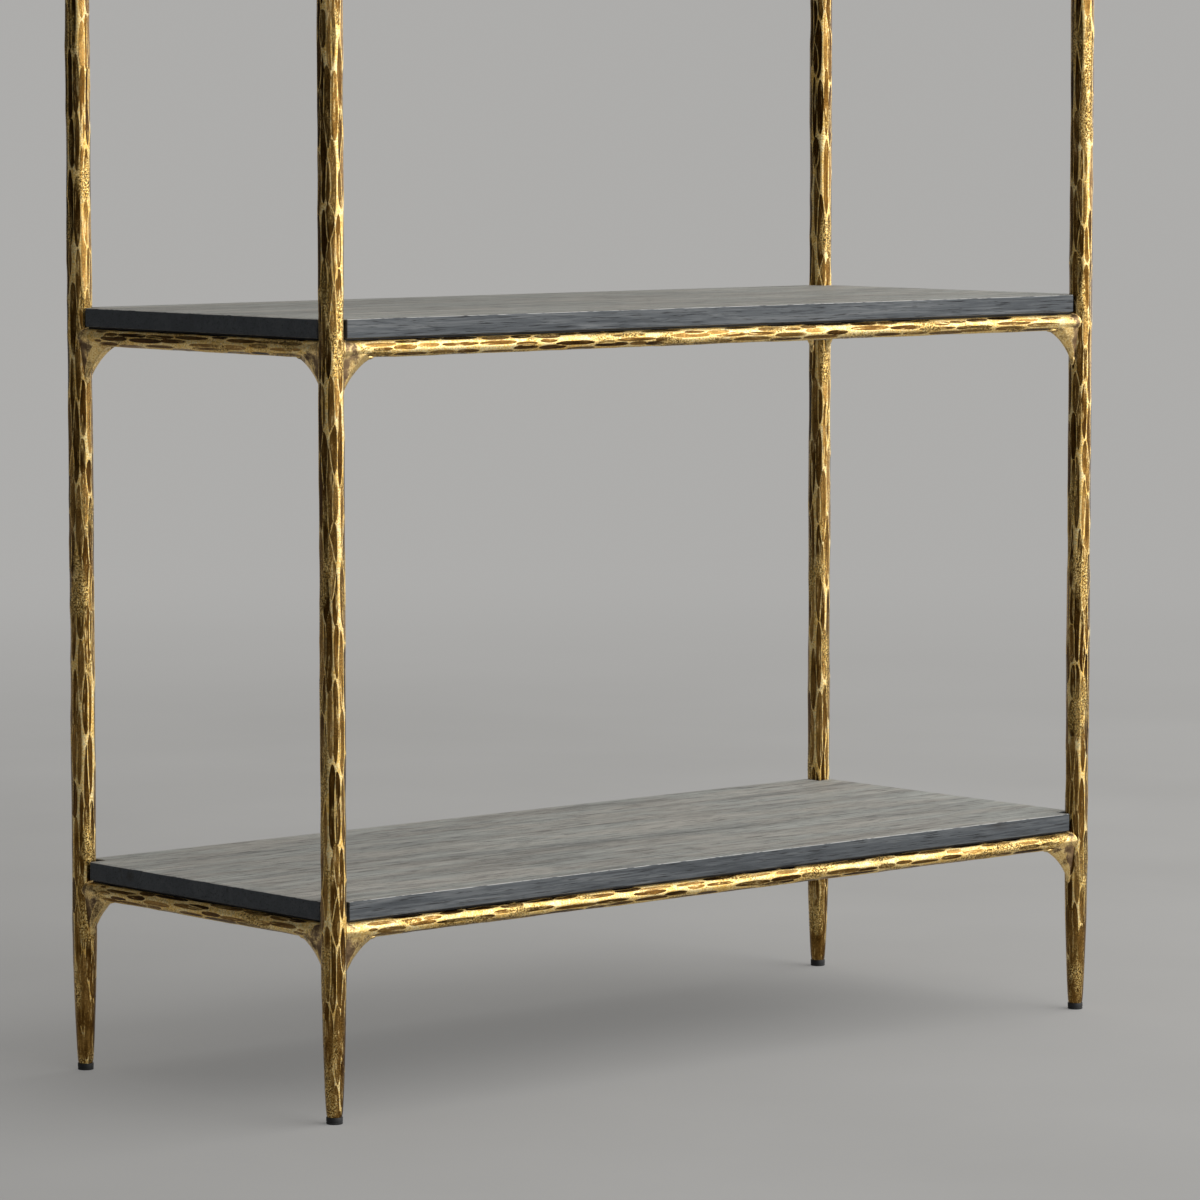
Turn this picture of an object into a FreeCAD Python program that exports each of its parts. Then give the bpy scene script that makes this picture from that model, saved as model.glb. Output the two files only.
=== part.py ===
import FreeCAD, Part
from math import cos, pi, radians, sin, sqrt
import os

# A tall open shelving unit: four hammered round posts, hammered rails on every level, a cast
# web under each rail end, dark boards on hidden tabs, and a screw-in levelling glide in each leg.
# The unit stands on z = 0, centred over the origin. x runs along its width, y from front to back.
# All sizes are in millimetres.

# The whole unit
level_count = 4
post_spacing_wide = 892.0
post_spacing_deep = 350.0
lowest_board_top = 186.0
shelf_pitch = 485.0
post_above_top_board = 10.0

# Posts: hammered round bar, drawn down to a slim leg
post_radius = 11.25
post_flat_count = 8
post_flat_length = 80.0
post_end_bevel = 2.4
leg_tip_radius = 6.85
leg_taper_length = 118.0
leg_flat_length = 40.0
leg_taper_power_share = 0.5

# Rails: slimmer hammered round bar
rail_radius = 7.5
rail_flat_count = 6
rail_flat_length = 80.0

# How unevenly the hammer fell, as shares of the flat's length and of the bar's radius
blow_drift_share = 0.17
blow_depth_share = 0.03
blow_turn_angle = radians(137.5)

# Cast webs under the rail ends
web_reach = 31.0
web_drop = 29.0
web_arc_radius = 60.0
web_thickness = 12.0
web_foot_thickness = 4.4
web_ridge_width = 3.0
web_bevel_slope_share = 0.9
web_wheel_flat_count = 30

# Boards, which lie on the rails and have a small rebate round their lower edge
board_thickness = 17.8
board_past_post_line = 4.0
board_notch_clearance = 2.5
board_arris = 0.8
board_rebate_height = 1.8
board_rebate_depth = 3.2

# Small repeated rounds have few sides
small_round_side_count = 8

# Tabs welded inside the long rails, which carry the boards
tab_offset_shares = (-0.3, 0.3)
tab_width = 22.0
tab_length = 24.0
tab_thickness = 3.5
tab_lap = 3.0
tab_clipped_corner = 6.0
tab_hole_radius = 2.4

# Wood screws that hold the boards down on the tabs
screw_radius = 2.0
screw_head_radius = 3.8
screw_head_crown_radius = 2.6
screw_head_height = 2.2
screw_bite = 10.0
screw_pilot_clearance = 0.05
screw_pilot_spare = 1.5

# Levelling glides
pad_radius = 6.25
pad_height = 6.0
pad_floor = 1.8
stud_radius = 3.0
stud_head_radius = 4.4
stud_head_thickness = 2.2
stud_head_side_count = 6
stud_length_in_leg = 22.0
glide_running_clearance = 0.05
glide_axial_clearance = 0.1
leg_bore_spare = 2.0

# Cutting tools run past what they cut by this much
overrun = 5.0

# Sizes that follow from those above
half_wide = post_spacing_wide / 2
half_deep = post_spacing_deep / 2
levels = range(level_count)
board_tops = [lowest_board_top + level * shelf_pitch for level in levels]
board_undersides = [top - board_thickness for top in board_tops]
rail_heights = [under - rail_radius for under in board_undersides]
post_top = board_tops[-1] + post_above_top_board
leg_bore_radius = stud_radius + glide_running_clearance
leg_bore_depth = stud_length_in_leg + leg_bore_spare
web_end = post_radius + web_reach
web_foot = rail_radius + web_drop

corners = {
    "front_left": FreeCAD.Vector(-half_wide, -half_deep, 0),
    "front_right": FreeCAD.Vector(half_wide, -half_deep, 0),
    "back_left": FreeCAD.Vector(-half_wide, half_deep, 0),
    "back_right": FreeCAD.Vector(half_wide, half_deep, 0),
}


def unevenness(count):
    """A steady value from -1 to 1 that never settles into a pattern, as a hand's blows do."""
    return sin(count * blow_turn_angle)


def ring_places(low, high, flat_length):
    """Places along a bar, half a flat apart, where the corners of its flats lie."""
    count = max(2, round((high - low) / (flat_length / 2)))
    pitch = (high - low) / count
    drifts = [blow_drift_share * pitch * unevenness(place) for place in range(1, count)]
    inner = [low + (place + 1) * pitch + drift for place, drift in enumerate(drifts)]
    return [low] + inner + [high]


def leg_radius_at(height):
    """The leg swells quickly above its tip, then runs smoothly into the post."""
    share = min(1, (height - pad_height) / leg_taper_length)
    return leg_tip_radius + (post_radius - leg_tip_radius) * share**leg_taper_power_share


def post_rings():
    """(place, radius, number) of each ring of a post, from the leg's tip up."""
    taper_top = pad_height + leg_taper_length
    leg = ring_places(pad_height, taper_top, leg_flat_length)
    shaft = ring_places(taper_top, post_top - post_end_bevel, post_flat_length)
    places = leg + shaft[1:]
    rings = [(place, leg_radius_at(place), number) for number, place in enumerate(places)]
    return rings + [(post_top, post_radius - post_end_bevel, len(rings))]


def rail_rings(half_length):
    """(place, radius, number) of each ring of a rail that runs between two post centres."""
    places = ring_places(-half_length, half_length, rail_flat_length)
    return [(place, rail_radius, number) for number, place in enumerate(places)]


def rings_between(rings, low, high):
    """The shortest run of a bar's rings that covers the stretch from low to high."""
    first = max(number for place, radius, number in rings if place <= low)
    last = min(number for place, radius, number in rings if place >= high)
    return rings[first : last + 1]


def ring_corners(ring, sides, lay):
    """The corners of one ring. Every second ring is turned by half a flat."""
    place, radius, number = ring
    turn = (number % 2) / 2
    found = []
    for side in range(sides):
        angle = 2 * pi * (side + turn) / sides
        blow = (1 + unevenness(number * sides + side)) / 2
        reach = radius * (1 - blow_depth_share * blow)
        found.append(lay(place, reach * cos(angle), reach * sin(angle)))
    return found


def upright(along, across, beside):
    """Lays a bar's own directions along z."""
    return FreeCAD.Vector(across, beside, along)


def lengthwise(along, across, beside):
    """Lays a bar's own directions along x."""
    return FreeCAD.Vector(along, across, beside)


def crosswise(along, across, beside):
    """Lays a bar's own directions along y."""
    return FreeCAD.Vector(beside, along, across)


def flat_face(outline):
    return Part.Face(Part.makePolygon(outline + outline[:1]))


def hammered_bar(rings, sides, lay):
    """A round bar beaten all over. Rings of corners, each turned half a flat against the last,
    leave staggered lens-shaped flats with raised edges, each flat dished across its middle."""
    loops = [ring_corners(ring, sides, lay) for ring in rings]
    faces = [flat_face(loops[0][::-1]), flat_face(loops[-1])]
    for ring, low, high in zip(rings, loops, loops[1:]):
        lead = ring[2] % 2
        for side in range(sides):
            after = (side + 1) % sides
            above = high[(side + lead) % sides]
            faces.append(flat_face([low[side], low[after], above]))
            back = low[side] if lead else low[after]
            faces.append(flat_face([back, high[after], high[side]]))
    shell = Part.makeShell(faces)
    shell.sewShape()
    return Part.makeSolid(shell)


def few_sided(radius, sides, centre, lay=upright):
    """The corners of a regular outline, with one of its sides square to the across way."""
    angles = [2 * pi * (side + 1 / 2) / sides for side in range(sides)]
    return [centre + lay(0, radius * cos(angle), radius * sin(angle)) for angle in angles]


def few_sided_rod(radius, sides, low, length):
    return flat_face(few_sided(radius, sides, low)).extrude(FreeCAD.Vector(0, 0, length))


def moved(shape, by):
    copy = shape.copy()
    copy.translate(by)
    return copy


def largest(shape):
    """The piece that is left after a cut, without what falls off."""
    return max(shape.Solids, key=lambda solid: solid.Volume)


def post(rings):
    """A post, drilled up from the tip of its leg for the glide's stud."""
    bar = hammered_bar(rings, post_flat_count, upright)
    foot = FreeCAD.Vector(0, 0, pad_height - overrun)
    drill = Part.makeCylinder(leg_bore_radius, overrun + leg_bore_depth, foot)
    return largest(bar.cut(drill))


def post_at_level(rings, rail_height):
    """The stretch of a post that a level's rails and webs are fitted to."""
    stretch = rings_between(rings, rail_height - web_foot, rail_height + rail_radius)
    return hammered_bar(stretch, post_flat_count, upright)


def rail(half_length, lay, post_stretch, rail_height):
    """A rail whose ends are shaped to the posts, which stand half_length from its middle."""
    bar = hammered_bar(rail_rings(half_length), rail_flat_count, lay)
    bar.translate(FreeCAD.Vector(0, 0, rail_height))
    end = lay(half_length, 0, 0)
    posts = [moved(post_stretch, -end), moved(post_stretch, end)]
    return largest(bar.cut(posts))


def rail_stretch(half_length, lay, low, high):
    """The stretch of a rail that a web or a tab is fitted to, at height zero."""
    stretch = rings_between(rail_rings(half_length), low, high)
    return hammered_bar(stretch, rail_flat_count, lay)


def web_wheel():
    """The grinding wheel that leaves a web its hollow arc and its bevelled ridge.
    The arc runs from the rail's underside to the post's face."""
    rise = web_foot - rail_radius
    run = web_end - post_radius
    chord = sqrt(run**2 + rise**2)
    back = sqrt(web_arc_radius**2 - (chord / 2) ** 2)
    middle_x = (web_end + post_radius) / 2 + back * rise / chord
    middle_z = -(rail_radius + web_foot) / 2 - back * run / chord
    half_width = web_thickness / 2 + overrun
    half_ridge = web_ridge_width / 2
    brim = web_arc_radius + (half_width - half_ridge) * web_bevel_slope_share
    middle = FreeCAD.Vector(middle_x, 0, middle_z)
    loops = []
    for radius, side in (
        (brim, -half_width),
        (web_arc_radius, -half_ridge),
        (web_arc_radius, half_ridge),
        (brim, half_width),
    ):
        centre = middle + FreeCAD.Vector(0, side, 0)
        corners_round = few_sided(radius, web_wheel_flat_count, centre, crosswise)
        loops.append(Part.makePolygon(corners_round + corners_round[:1]))
    return Part.makeLoft(loops, True, True)


def web_blank():
    """A web before it is fitted: thick at the rail, thin at its foot. The rail runs along +x
    from the post's centre, and its centre line is at height zero."""
    top = web_thickness / 2
    foot = web_foot_thickness / 2
    section = [
        FreeCAD.Vector(0, -top, 0),
        FreeCAD.Vector(0, -foot, -web_foot),
        FreeCAD.Vector(0, foot, -web_foot),
        FreeCAD.Vector(0, top, 0),
    ]
    block = flat_face(section).extrude(FreeCAD.Vector(web_end, 0, 0))
    return block.cut(web_wheel())


def fitted_web(blank, turn, half_length, lay, post_stretch, rail_height):
    """A web turned about its post and seated on that post and on the rail over it."""
    web = blank.copy()
    web.rotate(FreeCAD.Vector(0, 0, 0), FreeCAD.Vector(0, 0, 1), turn)
    side = 1 if turn in (0, 90) else -1
    ends = sorted([-side * half_length, side * (web_end - half_length)])
    own_rail = rail_stretch(half_length, lay, ends[0], ends[1])
    own_rail.translate(lay(side * half_length, 0, 0))
    own_post = moved(post_stretch, FreeCAD.Vector(0, 0, -rail_height))
    return moved(largest(web.cut([own_rail, own_post])), FreeCAD.Vector(0, 0, rail_height))


def screw_reach():
    """How far inside the rail's centre line a board screw stands."""
    return tab_lap + tab_length - tab_width / 2


def tab(place, side):
    """A tab with clipped corners on the inner side of a long rail, with its top at height zero.
    side is 1 on the front rail, whose inner side faces +y, and -1 on the back rail."""
    half = tab_width / 2
    clipped = half - tab_clipped_corner
    root = tab_lap
    nose = tab_lap + tab_length
    shoulder = nose - tab_clipped_corner
    outline = [
        (-half, root),
        (-half, shoulder),
        (-clipped, nose),
        (clipped, nose),
        (half, shoulder),
        (half, root),
    ]
    points = [FreeCAD.Vector(place + a, side * b, -tab_thickness) for a, b in outline]
    plate = flat_face(points).extrude(FreeCAD.Vector(0, 0, tab_thickness))
    low = FreeCAD.Vector(place, side * screw_reach(), -tab_thickness - overrun)
    hole = few_sided_rod(tab_hole_radius, small_round_side_count, low, tab_thickness + 2 * overrun)
    own_rail = rail_stretch(half_wide, lengthwise, place - half, place + half)
    own_rail.translate(FreeCAD.Vector(0, 0, -rail_radius))
    return largest(plate.cut([hole, own_rail]))


def screw():
    """A pan-head wood screw that points up, with the tab's underside at height zero."""
    seat = FreeCAD.Vector(0, 0, 0)
    crown = FreeCAD.Vector(0, 0, -screw_head_height)
    loops = []
    for radius, centre in ((screw_head_crown_radius, crown), (screw_head_radius, seat)):
        corners_round = few_sided(radius, small_round_side_count, centre)
        loops.append(Part.makePolygon(corners_round + corners_round[:1]))
    head = Part.makeLoft(loops, True, True)
    shank = few_sided_rod(screw_radius, small_round_side_count, seat, tab_thickness + screw_bite)
    return head.fuse(shank)


def fixing_places():
    """(x, y) of each screw, and so of each tab, on one level."""
    xs = [share * post_spacing_wide for share in tab_offset_shares]
    line = half_deep - screw_reach()
    return [(x, y) for y in (-line, line) for x in xs]


def notched_plate(inset, low, high):
    """A plate with a square notch for each post. inset is how far its sides stand in."""
    x = half_wide + board_past_post_line - inset
    y = half_deep + board_past_post_line - inset
    clear = post_radius + board_notch_clearance
    notch_x = half_wide - clear
    notch_y = half_deep - clear
    quarter = [(notch_x, y), (notch_x, notch_y), (x, notch_y)]
    outline = []
    for across, deep in ((1, 1), (1, -1), (-1, -1), (-1, 1)):
        corner = [(across * a, deep * b) for a, b in quarter]
        outline += corner if across == deep else corner[::-1]
    points = [FreeCAD.Vector(a, b, low) for a, b in outline]
    return flat_face(points).extrude(FreeCAD.Vector(0, 0, high - low))


def board():
    """A board with its top at height zero, a small bevel along the edges of its sides, a rebate
    under them, and its underside drilled for the screws."""
    rebate_top = board_rebate_height - board_thickness
    blank = notched_plate(0, rebate_top, 0)
    arrises = [edge for edge in blank.Edges if edge.BoundBox.ZLength < board_arris]
    bevelled = blank.makeChamfer(board_arris, arrises)
    seat = notched_plate(board_rebate_depth, -board_thickness, rebate_top + board_arris)
    bevelled = bevelled.fuse(seat).removeSplitter()
    pilots = []
    for a, b in fixing_places():
        low = FreeCAD.Vector(a, b, -board_thickness - overrun)
        depth = screw_bite + screw_pilot_spare + overrun
        pilot_radius = screw_radius + screw_pilot_clearance
        pilots.append(few_sided_rod(pilot_radius, small_round_side_count, low, depth))
    return largest(bevelled.cut(pilots))


def turned(profile):
    """A solid turned about z from (radius, height) points."""
    points = [FreeCAD.Vector(radius, 0, height) for radius, height in profile]
    return flat_face(points).revolve(FreeCAD.Vector(0, 0, 0), FreeCAD.Vector(0, 0, 1), 360)


def glide_pad():
    """The black foot, with a closed pocket for the stud's head under its neck."""
    roof = pad_floor + stud_head_thickness + glide_axial_clearance
    pocket = stud_head_radius + glide_running_clearance
    neck = stud_radius + glide_running_clearance
    return turned(
        [
            (0, 0),
            (pad_radius, 0),
            (pad_radius, pad_height),
            (neck, pad_height),
            (neck, roof),
            (pocket, roof),
            (pocket, pad_floor),
            (0, pad_floor),
        ]
    )


def glide_stud():
    """The threaded stud, whose hexagon head turns in the pad while its shank screws into the leg."""
    head_foot = FreeCAD.Vector(0, 0, pad_floor)
    head = few_sided_rod(stud_head_radius, stud_head_side_count, head_foot, stud_head_thickness)
    head_top = pad_floor + stud_head_thickness
    shank_length = pad_height + stud_length_in_leg - head_top
    shank = Part.makeCylinder(stud_radius, shank_length, FreeCAD.Vector(0, 0, head_top))
    return head.fuse(shank)


def write(name, solids):
    shape = solids[0] if len(solids) == 1 else Part.makeCompound(solids)
    shape.exportStep(f"parts/{name}.step")
    volume = sum(solid.Volume for solid in solids)
    print(f"{name}: {len(solids)} solid(s), {volume:.0f} mm3, valid {shape.isValid()}")


os.makedirs("parts", exist_ok=True)

rings = post_rings()
one_post = post(rings)
one_pad = glide_pad()
one_stud = glide_stud()
for corner, centre in corners.items():
    write(f"post_{corner}", [moved(one_post, centre)])
    write(f"glide_pad_{corner}", [moved(one_pad, centre)])
    write(f"glide_stud_{corner}", [moved(one_stud, centre)])

to_front = FreeCAD.Vector(0, -half_deep, 0)
to_left = FreeCAD.Vector(-half_wide, 0, 0)
blank_web = web_blank()
for level, height in zip(levels, rail_heights):
    number = level + 1
    stretch = post_at_level(rings, height)
    long_rail = rail(half_wide, lengthwise, stretch, height)
    short_rail = rail(half_deep, crosswise, stretch, height)
    write(f"rail_front_{number}", [moved(long_rail, to_front)])
    write(f"rail_back_{number}", [moved(long_rail, -to_front)])
    write(f"rail_left_{number}", [moved(short_rail, to_left)])
    write(f"rail_right_{number}", [moved(short_rail, -to_left)])
    webs = {}
    for turn in (0, 180):
        webs[turn] = fitted_web(blank_web, turn, half_wide, lengthwise, stretch, height)
    for turn in (90, 270):
        webs[turn] = fitted_web(blank_web, turn, half_deep, crosswise, stretch, height)
    for corner, centre in corners.items():
        along = 0 if centre.x < 0 else 180
        inward = 90 if centre.y < 0 else 270
        pair = [moved(webs[along], centre), moved(webs[inward], centre)]
        write(f"gussets_{corner}_{number}", pair)

one_board = board()
one_screw = screw()
tab_places = [share * post_spacing_wide for share in tab_offset_shares]
one_level_tabs = [moved(tab(x, 1), to_front) for x in tab_places]
one_level_tabs += [moved(tab(x, -1), -to_front) for x in tab_places]
screws = []
for level in levels:
    under = FreeCAD.Vector(0, 0, board_undersides[level])
    write(f"shelf_board_{level + 1}", [moved(one_board, FreeCAD.Vector(0, 0, board_tops[level]))])
    write(f"board_tabs_{level + 1}", [moved(each, under) for each in one_level_tabs])
    for x, y in fixing_places():
        screws.append(moved(one_screw, FreeCAD.Vector(x, y, board_undersides[level] - tab_thickness)))
write("board_screws", screws)
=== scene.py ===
from math import atan2, pi, radians, sqrt
import bpy
import numpy as np
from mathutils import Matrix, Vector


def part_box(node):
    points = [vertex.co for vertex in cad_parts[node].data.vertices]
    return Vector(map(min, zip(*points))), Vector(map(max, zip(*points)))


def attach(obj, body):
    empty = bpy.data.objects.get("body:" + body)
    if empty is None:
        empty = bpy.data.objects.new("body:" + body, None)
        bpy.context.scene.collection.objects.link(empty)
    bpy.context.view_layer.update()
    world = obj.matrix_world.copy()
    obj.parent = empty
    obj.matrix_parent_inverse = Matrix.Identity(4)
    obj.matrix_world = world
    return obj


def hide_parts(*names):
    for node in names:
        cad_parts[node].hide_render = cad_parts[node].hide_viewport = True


# The looks of a tall open shelving unit: hammered brass posts and rails, cast brass webs, dark
# stained boards and screw-in levelling glides. Everything is in metres, in the frame's own place.
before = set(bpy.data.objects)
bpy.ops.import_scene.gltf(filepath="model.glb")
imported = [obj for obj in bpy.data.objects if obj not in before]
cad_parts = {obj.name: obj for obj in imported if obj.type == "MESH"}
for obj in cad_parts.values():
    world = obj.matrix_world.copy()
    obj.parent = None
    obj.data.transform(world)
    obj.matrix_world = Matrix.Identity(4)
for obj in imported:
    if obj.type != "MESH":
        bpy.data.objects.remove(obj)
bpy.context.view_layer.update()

mm = 0.001

# Where the frame has its pieces. Every piece here is fitted to them.
corners = ("front_left", "front_right", "back_left", "back_right")
board_count = sum(name.startswith("shelf_board_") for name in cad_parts)
levels = range(1, board_count + 1)
post_low, post_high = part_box("post_front_left")
post_radius = (post_high.x - post_low.x) / 2
leg_tip = post_low.z
post_top = post_high.z
post_centres = {}
for corner in corners:
    low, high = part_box(f"post_{corner}")
    post_centres[corner] = ((low.x + high.x) / 2, (low.y + high.y) / 2)
half_wide = post_centres["front_right"][0]
half_deep = post_centres["back_left"][1]
rail_low, rail_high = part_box("rail_front_1")
rail_radius = (rail_high.z - rail_low.z) / 2
rail_heights = {}
for level in levels:
    low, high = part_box(f"rail_front_{level}")
    rail_heights[level] = (low.z + high.z) / 2

# Hammered bars
post_side_count = 108
rail_side_count = 64
ring_step = 2.0 * mm
post_row_count = 13
post_flat_length = 54 * mm
post_flat_depth = 0.58 * mm
rail_row_count = 8
rail_flat_length = 34 * mm
rail_flat_depth = 0.34 * mm
post_ridge_roundness = 0.26 * mm
rail_ridge_roundness = 0.12 * mm
bar_waviness = 0.012
post_wave_length = 31 * mm
rail_wave_length = 23 * mm
widest_ridge_way = 5 * mm

# How unevenly the hammer fell, in shares of a flat's length, of the turn from row to row and of
# a flat's depth
blow_length_shares = (0.55, 1.45)
blow_turn_shares = (-0.4, 0.4)
blow_depth_shares = (0.6, 1.4)
blow_lean_shares = (-0.4, 0.4)
blows_before_bar = 3
spare_blows = 8

# The ends of posts, legs and rails
leg_tip_radius = 6.5 * mm
leg_taper_length = 118 * mm
leg_taper_power = 0.58
leg_smooth_length = 55 * mm
leg_smooth_fade = 60 * mm
leg_least_beaten = 0.2
leg_tone = 0.7
leg_bore_radius = 3.05 * mm
leg_bore_depth = 24 * mm
leg_tip_bevel = 0.3 * mm
leg_tip_bevel_share = 0.9
leg_bore_ring_share = 0.88
post_end_bevel = 2.4 * mm
post_end_power = 6
post_end_ring_shares = (0.97, 0.93, 0.8, 0.6, 0.4, 0.2)
saddle_stretch = 14 * mm
saddle_bite = 0.8 * mm
plain_rail_end = 19 * mm
plain_rail_fade = 14 * mm

# Cast webs under the rail ends
web_reach = 31 * mm
web_drop = 29 * mm
web_arc_radius = 60 * mm
web_thickness = 13 * mm
web_foot_thickness = 4.4 * mm
web_ridge_width = 2.8 * mm
web_bevel_slope = 1.5
web_root = 3 * mm
web_arris = 0.4 * mm
wheel_side_count = 160
knob_radius = 3.6 * mm
knob_rise = 0.8 * mm
knob_stretch = (1.6, 1.2, 0.62)
foot_radius = 2.2 * mm
foot_inset = 0.6 * mm
foot_rise = 2 * mm
foot_stretch = (0.8, 1.35, 2.8)
crown_radius = 2.0 * mm
crown_out = 0.6 * mm
crown_drop = 0.4 * mm
crown_stretch = (1.1, 1.7, 0.8)
weld_thickness = 1.1 * mm
collar_length = 27 * mm
collar_build_up = 0.45 * mm
cast_voxel = 0.5 * mm
cast_kept_share = 0.30
cast_dent_size = 5 * mm
cast_dent_depth = 0.35 * mm
ground_tolerance = 0.8 * mm
bright_rail_drop = 3 * mm
bright_rail_fade = 5 * mm
bright_out_start = 2 * mm
bright_out_fade = 12 * mm
bright_foot_rise = 5 * mm
bright_foot_fade = 3 * mm

# Boards
board_arris = 0.8 * mm
board_rebate_height = 1.8 * mm
board_rebate_depth = 3.2 * mm
board_seat_bite = 0.35 * mm
notch_clearance = 2.5 * mm
notch_overrun = 10 * mm
# How far up the rebate its painted shade reaches, as a share of the rebate's height
painted_shade_top_share = 0.9

# Tabs and screws under the boards
tab_thickness = 3.5 * mm
tab_width = 22 * mm
tab_length = 24 * mm
tab_lap = 3 * mm
tab_clipped_corner = 6 * mm
tab_hole_radius = 2.4 * mm
tab_arris = 0.35 * mm
tab_bead_radius = 1.7 * mm
tab_bead_inset = 0.4 * mm
tab_bead_drop = 0.2 * mm
tab_bead_stretch = (5.6, 1.2, 0.9)
screw_radius = 2.0 * mm
screw_core_radius = 1.5 * mm
screw_pitch = 1.8 * mm
screw_bite = 10 * mm
screw_head_radius = 3.8 * mm
screw_head_height = 2.2 * mm
screw_recess_width = 0.9 * mm
screw_recess_length = 4.2 * mm
screw_recess_depth = 1.3 * mm
screw_crown_share = 0.7
screw_root = 0.2 * mm
rings_per_pitch = 8
thread_tip_share = 0.72

# Levelling glides
pad_radius = 7.0 * mm
pad_height = 6.0 * mm
pad_floor = 1.8 * mm
pad_pocket_top = 4.1 * mm
pad_pocket_radius = 4.45 * mm
pad_neck_radius = 3.05 * mm
pad_lip = 0.5 * mm
stud_radius = 3.0 * mm
stud_core_radius = 2.55 * mm
stud_pitch = 1.0 * mm
stud_head_radius = 4.4 * mm
stud_head_height = 2.2 * mm
stud_head_arris = 0.25 * mm
stud_root = 0.3 * mm
stud_top = 28 * mm

# The studio
backdrop_colour = (0.42, 0.415, 0.405)
floor_size = 60
lamp_target = (0, 0, 0.9)
camera_place = (-3.3208, -3.7624, 0.8537)
camera_dip = radians(5.16)
camera_turn = radians(-41.47)
camera_lens = 167.1
camera_sensor_width = 36
camera_reach = 200


# Modelling helpers

def only(piece):
    """Makes one piece the only one that is selected and active."""
    bpy.ops.object.select_all(action="DESELECT")
    piece.select_set(True)
    bpy.context.view_layer.objects.active = piece
    return piece


def added(name):
    """The piece that the last primitive made, under its own name."""
    piece = bpy.context.active_object
    piece.name = name
    piece.data.name = name
    return piece


def worked(piece, kind, **settings):
    """Adds a modifier to a piece and applies it."""
    only(piece)
    modifier = piece.modifiers.new(kind.lower(), kind)
    for key, value in settings.items():
        setattr(modifier, key, value)
    bpy.ops.object.modifier_apply(modifier=modifier.name)
    return piece


def points_of(piece):
    flat = np.empty(len(piece.data.vertices) * 3)
    piece.data.vertices.foreach_get("co", flat)
    return flat.reshape(-1, 3)


def set_points(piece, points):
    piece.data.vertices.foreach_set("co", np.asarray(points, float).ravel())
    piece.data.update()


def pick_edges(piece, test):
    """Goes into edit mode with only the edges selected whose two ends pass the test."""
    only(piece)
    points = points_of(piece)
    ends = np.empty(len(piece.data.edges) * 2, dtype=np.int64)
    piece.data.edges.foreach_get("vertices", ends)
    ends = ends.reshape(-1, 2)
    chosen = test(points[ends[:, 0]]) & test(points[ends[:, 1]])
    bpy.ops.object.mode_set(mode="EDIT")
    bpy.ops.mesh.select_mode(type="EDGE")
    bpy.ops.mesh.select_all(action="DESELECT")
    bpy.ops.object.mode_set(mode="OBJECT")
    piece.data.edges.foreach_set("select", chosen)
    bpy.ops.object.mode_set(mode="EDIT")


def object_mode():
    bpy.ops.object.mode_set(mode="OBJECT")


def grow_ring(factor, rise, centre):
    """Extrudes the selected ring of edges, then scales and lifts the new one."""
    bpy.ops.mesh.extrude_region_move(TRANSFORM_OT_translate={"value": (0, 0, rise)})
    bpy.ops.transform.resize(value=(factor, factor, 1), center_override=centre)


def give_values(piece, name, values):
    """Stores one number for each point of a piece, for its finish to read."""
    made = piece.data.attributes.new(name, "FLOAT", "POINT")
    made.data.foreach_set("value", np.asarray(values, dtype=np.float32))


def give_places(piece, name, places):
    """Stores a place for each point of a piece, for its finish to read."""
    made = piece.data.attributes.new(name, "FLOAT_VECTOR", "POINT")
    made.data.foreach_set("vector", np.asarray(places, dtype=np.float32).ravel())


def close_end(piece, height, tolerance):
    """Fills the open end that a tube along z has at one height."""
    pick_edges(piece, lambda p: np.abs(p[:, 2] - height) < tolerance)
    bpy.ops.mesh.edge_face_add()
    object_mode()


def smooth_shaded(piece, angle=radians(50)):
    only(piece)
    bpy.ops.object.shade_smooth_by_angle(angle=angle)
    return piece


# Hammered bars

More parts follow.
